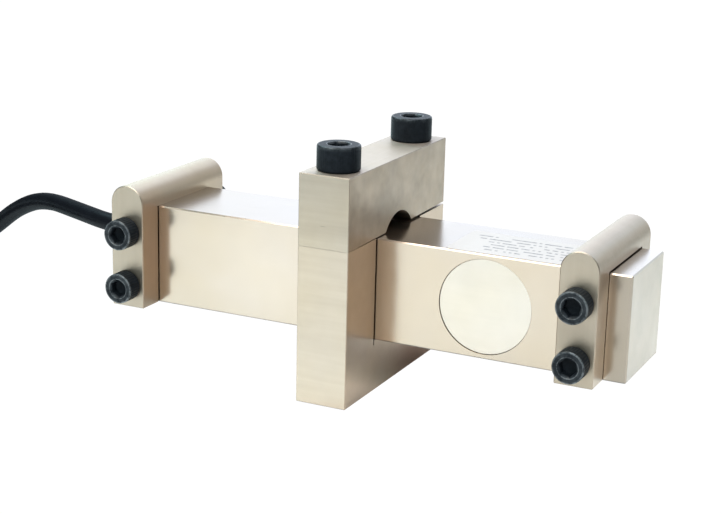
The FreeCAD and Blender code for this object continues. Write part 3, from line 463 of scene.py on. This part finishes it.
def socket_screw(bm, at, head, height, key, depth, mouth, shank, length, ridges, relief, brk, face, edge, n=216):
    """A socket head cap screw along Z, head above z = 0: hexagon socket with a drill point and a countersunk mouth, broken rims, knurled side."""
    m = MM
    rings = [
        (circle(key * 0.455 * m, (height - depth) * m, n), 0.0),
        (hexagon((key - 0.05) * m, (height - depth + 0.05) * m, n), 0.0),
        (hexagon(key * m, (height - 0.62) * m, n), 0.0),
        (circle((mouth / 2 - 0.10) * m, (height - 0.09) * m, n), 0.25),
        (circle((mouth / 2 - 0.02) * m, (height - 0.015) * m, n), 1.0),
        (circle((mouth / 2 + 0.07) * m, height * m, n), 1.0),
        (circle((mouth / 2 + 0.20) * m, height * m, n), face),
        (circle((head / 2 - brk - 0.30) * m, height * m, n), face),
        (circle((head / 2 - brk - 0.10) * m, height * m, n), 0.7 * edge),
        (circle((head / 2 - brk + 0.02) * m, (height - 0.03) * m, n), edge),
        (circle((head / 2 - brk * 0.55) * m, (height - brk * 0.22) * m, n), edge),
        (circle((head / 2 - brk * 0.26) * m, (height - brk * 0.52) * m, n), edge),
        (circle((head / 2 - 0.09) * m, (height - brk + 0.07) * m, n), 0.9 * edge),
        (circle((head / 2 - relief * 0.6) * m, (height - brk - 0.08) * m, n), 0.5 * edge),
        (knurled(head / 2 * m, relief * m, (height - brk - 0.26) * m, n, ridges), 0.1),
        (knurled(head / 2 * m, relief * m, (height - brk - 0.8) * m, n, ridges), 0.0),
        (knurled(head / 2 * m, relief * m, 0.75 * m, n, ridges), 0.0),
        (circle((head / 2 - relief * 0.6) * m, 0.5 * m, n), 0.0),
        (circle((head / 2 - 0.16) * m, 0.4 * m, n), 0.0),
        (circle((head / 2 - 0.42) * m, 0.04 * m, n), 0.0),
        (circle((head / 2 - 0.55) * m, 0.0, n), 0.0),
        (circle((shank / 2 + 0.02) * m, 0.0, n), 0.0),
        (circle((shank / 2) * m, -0.05 * m, n), 0.0),
        (circle((shank / 2) * m, -(length - 0.6) * m, n), 0.0),
        (circle((shank / 2 - 0.6) * m, -length * m, n), 0.0),
    ]
    loft(bm, [r for r, mark in rings], at, (0, 0, (height - depth - key * 0.455 * 0.58) * m), (0, 0, -length * m), [mark for r, mark in rings])


def turned_to(direction, spot, turn):
    q = Vector((0, 0, 1)).rotation_difference(Vector(direction))
    lay = q.to_matrix().to_4x4() @ Matrix.Rotation(math.radians(turn), 4, "Z")
    return Matrix.Translation(Vector(spot) * MM) @ lay


# ------------------------------------------------------------------- screws
bm = bmesh.new()
bm.verts.layers.float.new("rim")
for y, turn in ((-26.5, 12), (26.5, 41)):
    socket_screw(bm, turned_to((0, 0, 1), (0, y, 72.7), turn), 13.5, 8.0, 6.0, 4.0, 7.4, 8.0, 45.0, 54, 0.06, 0.55, 0.0, 0.30)
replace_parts(finish_mesh(bm, "clamp_screw_pair", "black_oxide"), "clamp_screws")

for side, x, turns in (("left", -77.2, (7, 33, 21, 50)), ("right", 77.2, (15, 44, 3, 27))):
    bm = bmesh.new()
    bm.verts.layers.float.new("rim")
    for (face, z), turn in zip(((-1, 42.5), (-1, 24.5), (1, 42.5), (1, 24.5)), turns):
        socket_screw(bm, turned_to((0, face, 0), (x, face * 25.5, z), turn), 10.0, 6.0, 5.0, 3.0, 6.5, 6.0, 20.0, 36, 0.11, 0.34, 0.14, 1.0)
    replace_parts(finish_mesh(bm, "saddle_screw_set_" + side, "black_oxide"), "saddle_screws_" + side)


# -------------------------------------------------------------------- cable
ROUTE = [(-76.0, 0.0, 36.0), (-98.7, 0.0, 36.0), (-120.5, 9.5, 36.0), (-143.5, 20.1, 35.6), (-162.0, 28.0, 28.5),
         (-178.5, 33.9, 17.0), (-192.0, 37.4, 8.4), (-207.0, 39.4, 4.3), (-222.0, 39.4, 4.3)]
TAIL = [(-222.0, -55.4, 10.7), (-208.0, -55.4, 10.7), (-191.0, -54.7, 3.65), (-175.0, -53.2, 3.65)]
COIL_X, COIL_Y = -248.0, -8.0
COLUMNS = (47.4, 41.0, 34.6, 28.2)
LOW, HIGH = 4.3, 10.7
STEP = 22.5


def ease(value, start, width):
    s = min(1.0, max(0.0, (value - start) / width))
    return s * s * (3 - 2 * s)


def coil_points():
    """The wound turns: four inward on the floor, then out again on top of them; each turn's crossing is beside the last one's."""
    points = []
    for k in range(122):
        turn = -STEP / 2 + STEP * k
        r = COLUMNS[0] - 6.4 * sum(ease(turn, 300 + 360 * i, 60) for i in range(3))
        r += 6.4 * sum(ease(turn, 1620 + 360 * i, 60) for i in range(3))
        z = LOW + (HIGH - LOW) * ease(turn, 1320, 60)
        r /= math.cos(math.radians(STEP / 2))
        a = math.radians(90 + turn)
        points.append((COIL_X + r * math.cos(a), COIL_Y + r * math.sin(a), z))
    return points


def cable_curve(name, points, diameter, slot_name, round_steps=7, steps=6):
    data = bpy.data.curves.new(name, "CURVE")
    data.dimensions = "3D"
    data.resolution_u = steps
    data.bevel_depth = diameter / 2 * MM
    data.bevel_resolution = round_steps
    data.use_fill_caps = True
    line = data.splines.new("NURBS")
    line.points.add(len(points) - 1)
    for p, co in zip(line.points, points):
        p.co = (co[0] * MM, co[1] * MM, co[2] * MM, 1.0)
    line.order_u = 3
    line.use_endpoint_u = True
    line.use_smooth = True
    obj = bpy.data.objects.new(name, data)
    scene.collection.objects.link(obj)
    dress(obj, slot_name)
    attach(obj, "root")
    return obj


cable = cable_curve("signal_cable_run", ROUTE + coil_points() + TAIL, 6.3, "cable_jacket")
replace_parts(cable, "signal_cable", "cable_coil", "cable_tail")

# ------------------------------------------------- the cable's far end
END = Vector(TAIL[-1])
AHEAD = (Vector(TAIL[-1]) - Vector(TAIL[-2])).normalized()
ACROSS = AHEAD.cross(Vector((0, 0, 1))).normalized()
ABOVE = ACROSS.cross(AHEAD).normalized()
FRONT = END + AHEAD * 14.0


def along(spot, direction):
    """A frame whose Z runs along the direction from the spot, in metres."""
    q = Vector((0, 0, 1)).rotation_difference(Vector(direction))
    return Matrix.Translation(Vector(spot) * MM) @ q.to_matrix().to_4x4()


def shrink_sleeve():
    bm = bmesh.new()
    n = 64
    shape = [(2.9, 0.02), (3.28, 0.05), (3.40, 0.25), (3.38, 0.8), (3.43, 2.2), (3.42, 5.0), (3.44, 7.5), (3.40, 9.5),
             (3.30, 11.0), (3.05, 12.2), (2.72, 13.1), (2.52, 13.7), (2.42, 13.95), (2.30, 14.0), (2.18, 13.9), (2.10, 13.5), (2.05, 12.8)]
    rings = []
    for r, z in shape:
        ring = []
        for i in range(n):
            a = 2 * math.pi * i / n
            four = 0.06 * ease(z, 9.5, 3.5) * math.cos(4 * a)
            ripple = 0.015 * math.sin(3 * a + z * 1.3)
            rr = (r * (1 + four) + ripple) * MM
            ring.append((rr * math.cos(a), rr * math.sin(a), z * MM))
        rings.append(ring)
    loft(bm, rings, along(END, AHEAD), (0, 0, 0.02 * MM), (0, 0, 12.8 * MM))
    return finish_mesh(bm, "shrink_sleeve", "sleeve_plastic", 40)


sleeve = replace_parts(shrink_sleeve(), "end_sleeve")

FAN = [
    ("lead_red", 1.1, 0.9, ((10, 2.4, 3.4), (19, 5.2, 1.3), (28, 8.8, 0.8))),
    ("lead_black", 1.1, -0.9, ((9, 1.7, 1.9), (18, 2.7, 0.8), (29, 2.6, 0.8))),
    ("lead_green", -1.1, 0.9, ((10, -1.5, 3.5), (20, -2.8, 1.3), (31, -2.9, 0.8))),
    ("lead_white", -1.1, -0.9, ((9, -2.2, 1.8), (17, -4.9, 0.8), (27, -8.0, 0.8))),
]
LEVEL = Vector((AHEAD.x, AHEAD.y, 0)).normalized()
leads, ends = [], []
for node, side_shift, up_shift, way in FAN:
    begin = FRONT + ACROSS * side_shift + ABOVE * up_shift
    points = [begin, begin + AHEAD * 5]
    for forward, sideways, height in way:
        p = FRONT + LEVEL * forward + ACROSS * sideways
        points.append(Vector((p.x, p.y, height)))
    lead = cable_curve(node + "_wire", [begin - AHEAD * 0.8] + points, 1.4, node, 5, 8)
    leads.append(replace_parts(lead, node))
    ends.append((points[-1], (points[-1] - points[-2]).normalized()))


def bare_strands():
    """Seven tinned strands twisted together at the end of each lead."""
    bm = bmesh.new()
    n, steps, wire = 8, 22, 0.135
    for spot, direction in ends:
        at = along(spot, direction)
        for strand in range(7):
            reach = 0.0 if strand == 0 else 0.265
            long = 6.0 - 0.12 * (strand % 3)
            rings = []
            for k in range(steps + 1):
                z = long * k / steps - 0.1
                a = strand * math.pi / 3 + z * 0.75
                cx, cy = reach * math.cos(a), reach * math.sin(a)
                rings.append([((cx + wire * math.cos(2 * math.pi * i / n)) * MM, (cy + wire * math.sin(2 * math.pi * i / n)) * MM, z * MM)
                              for i in range(n)])
            middle = lambda ring: tuple(sum(p[i] for p in ring) / n for i in range(3))
            loft(bm, rings, at, middle(rings[0]), middle(rings[-1]))
    return finish_mesh(bm, "lead_strands", "tinned_copper", 50)


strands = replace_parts(bare_strands(), "lead_tips")


# --------------------------------------------------------------------- ties
def coil_ties():
    """Two toothed straps pulled round the coil, each with its locking head."""
    r0, r1, z0, z1, corner = 24.9, 50.7, 1.0, 14.0, 2.5
    bm = bmesh.new()
    for angle in (154.5, 334.5):
        a = math.radians(angle)
        out = Vector((math.cos(a), math.sin(a), 0))
        wide = Vector((-math.sin(a), math.cos(a), 0))
        up = Vector((0, 0, 1))
        centre = Vector((COIL_X, COIL_Y, 0))
        path = []
        for cr, cz, begin in ((r1 - corner, z1 - corner, 0), (r0 + corner, z1 - corner, 90), (r0 + corner, z0 + corner, 180), (r1 - corner, z0 + corner, 270)):
            for k in range(9):
                b = math.radians(begin + 90 * k / 8)
                path.append((cr + corner * math.cos(b), cz + corner * math.sin(b), math.cos(b), math.sin(b)))
        section = ((-2.0, 0.0), (-2.0, 0.6), (-1.85, 0.8), (-1.6, 0.86), (1.6, 0.86), (1.85, 0.8), (2.0, 0.6), (2.0, 0.0))
        loops = []
        for r, z, nr, nz in path:
            loops.append([bm.verts.new((centre + out * (r + nr * t) + up * (z + nz * t) + wide * w) * MM) for w, t in section])
        count = len(loops)
        for k in range(count):
            one, two = loops[k], loops[(k + 1) % count]
            for i in range(len(section)):
                j = (i + 1) % len(section)
                bm.faces.new((one[i], one[j], two[j], two[i]))
        # locking head on the top, with the cut end of the strap in it
        for size_rwz, spot in (((5.2, 5.6, 3.4), (42.0, 0.0, z1 + 0.75 + 1.7)), ((1.5, 3.6, 1.1), (38.9, 0.0, z1 + 0.9 + 1.2))):
            made = bmesh.ops.create_cube(bm, size=1.0)
            block = made["verts"]
            for v in block:
                v.co = (centre + out * (spot[0] + v.co.x * size_rwz[0]) + wide * (spot[1] + v.co.y * size_rwz[1])
                        + up * (spot[2] + v.co.z * size_rwz[2])) * MM
            edges = {e for v in block for e in v.link_edges}
            bmesh.ops.bevel(bm, geom=list(edges), offset=0.35 * MM, segments=3, affect="EDGES", profile=0.5)
    return finish_mesh(bm, "coil_tie_pair", "tie_plastic", 40)


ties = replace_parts(coil_ties(), "coil_ties")


# ----------------------------------------------------------- floor and light
def make_floor():
    data = bpy.data.meshes.new("studio_floor")
    s = 8.0
    data.from_pydata([(-s, -s, 0), (s, -s, 0), (s, s, 0), (-s, s, 0)], [], [(0, 1, 2, 3)])
    floor = bpy.data.objects.new("studio_floor", data)
    scene.collection.objects.link(floor)
    m, t, shader, place = new_material("studio_floor")
    cloud = noise(t, place, (1, 1, 1), 3.0, 2.0)
    # the sheet itself is burnt out to white; what it sends into the metal is only what falls on it
    seen = put(t, "ShaderNodeLightPath").outputs["Is Camera Ray"]
    sheet = blend_colour(t, cloud, rgb(0.86, 0.86, 0.865), rgb(0.90, 0.90, 0.90))
    t.links.new(blend_colour(t, seen, sheet, rgb(0.0, 0.0, 0.0)), shader.inputs["Base Color"])
    shader.inputs["Roughness"].default_value = 0.9
    shader.inputs["Emission Color"].default_value = rgb(1.0, 1.0, 1.0)
    t.links.new(maths(t, "MULTIPLY", seen, 1.04), shader.inputs["Emission Strength"])
    shader.inputs["Specular IOR Level"].default_value = 0.0
    data.materials.append(m)


AMBIENT = (0.0, 0.0, 0.0)
LOBES = [
    (150.0, 16.0, 14.0, (1.26, 1.50, 1.52)),
    (180.0, 16.0, 14.0, (0.62, 0.72, 1.05)),
    (210.0, 16.0, 14.0, (1.69, 1.88, 2.10)),
    (180.0, 45.0, 10.0, (0.45, 0.60, 0.60)),
    (0.0, 45.0, 10.0, (5.55, 6.90, 7.20)),
]
BOXES = [
    ("left_softbox", (-0.35, 0.10, 0.45), (-0.35, 0.10, 0.0), (0.30, 0.30), 1.0, (1.9, 2.92, 3.2)),
    ("near_softbox", (-0.10, -0.15, 0.45), (-0.10, -0.15, 0.0), (0.30, 0.30), 1.0, (2.35, 2.22, 2.00)),
    ("right_softbox", (0.15, -0.15, 0.45), (0.15, -0.15, 0.0), (0.30, 0.30), 1.0, (0.49, 0.53, 0.67)),
    ("rear_softbox", (0.0, 0.35, 0.45), (0.0, 0.35, 0.0), (0.45, 0.30), 1.0, (0.52, 0.52, 0.60)),
]


def bearing(azimuth, elevation):
    """A direction: azimuth in degrees from the front, counted towards the right, and elevation above the floor."""
    a, e = math.radians(azimuth), math.radians(elevation)
    return (math.sin(a) * math.cos(e), -math.cos(a) * math.cos(e), math.sin(e))


def make_world(ambient, lobes):
    """A pale studio: even light from all round, and soft bright areas of the walls and ceiling."""
    world = bpy.data.worlds.new("studio")
    scene.world = world
    world.use_nodes = True
    t = world.node_tree
    t.nodes.clear()
    out = t.nodes.new("ShaderNodeOutputWorld")
    way = put(t, "ShaderNodeTexCoord").outputs["Generated"]
    total = put(t, "ShaderNodeCombineXYZ", {0: ambient[0], 1: ambient[1], 2: ambient[2]}).outputs[0]
    for azimuth, elevation, tight, colour in lobes:
        dot = put(t, "ShaderNodeVectorMath", {0: way, 1: bearing(azimuth, elevation)}, operation="DOT_PRODUCT").outputs["Value"]
        glow = maths(t, "EXPONENT", maths(t, "MULTIPLY", maths(t, "SUBTRACT", dot, 1.0), tight))
        part = put(t, "ShaderNodeVectorMath", {0: colour, "Scale": glow}, operation="SCALE").outputs[0]
        total = put(t, "ShaderNodeVectorMath", {0: total, 1: part}, operation="ADD").outputs[0]
    # past the sheet's edge the room looks as white as the sheet
    seen = put(t, "ShaderNodeLightPath").outputs["Is Camera Ray"]
    total = blend_colour(t, seen, total, rgb(1.04, 1.04, 1.04))
    back = put(t, "ShaderNodeBackground", {"Color": total, "Strength": 1.0})
    t.links.new(back.outputs[0], out.inputs["Surface"])


def softbox(name, spot, aim, size, power, colour=(1, 1, 1)):
    data = bpy.data.lights.new(name, "AREA")
    data.shape = "RECTANGLE"
    data.size, data.size_y = size
    data.energy = power
    data.color = colour
    obj = bpy.data.objects.new(name, data)
    scene.collection.objects.link(obj)
    obj.location = spot
    obj.rotation_mode = "QUATERNION"
    obj.rotation_quaternion = (Vector(aim) - Vector(spot)).to_track_quat("-Z", "Y")


make_floor()
make_world(AMBIENT, LOBES)
for box in BOXES:
    softbox(*box)

scene.view_settings.view_transform = "Standard"
scene.view_settings.look = "None"
scene.view_settings.exposure = 0.0
scene.view_settings.gamma = 1.0
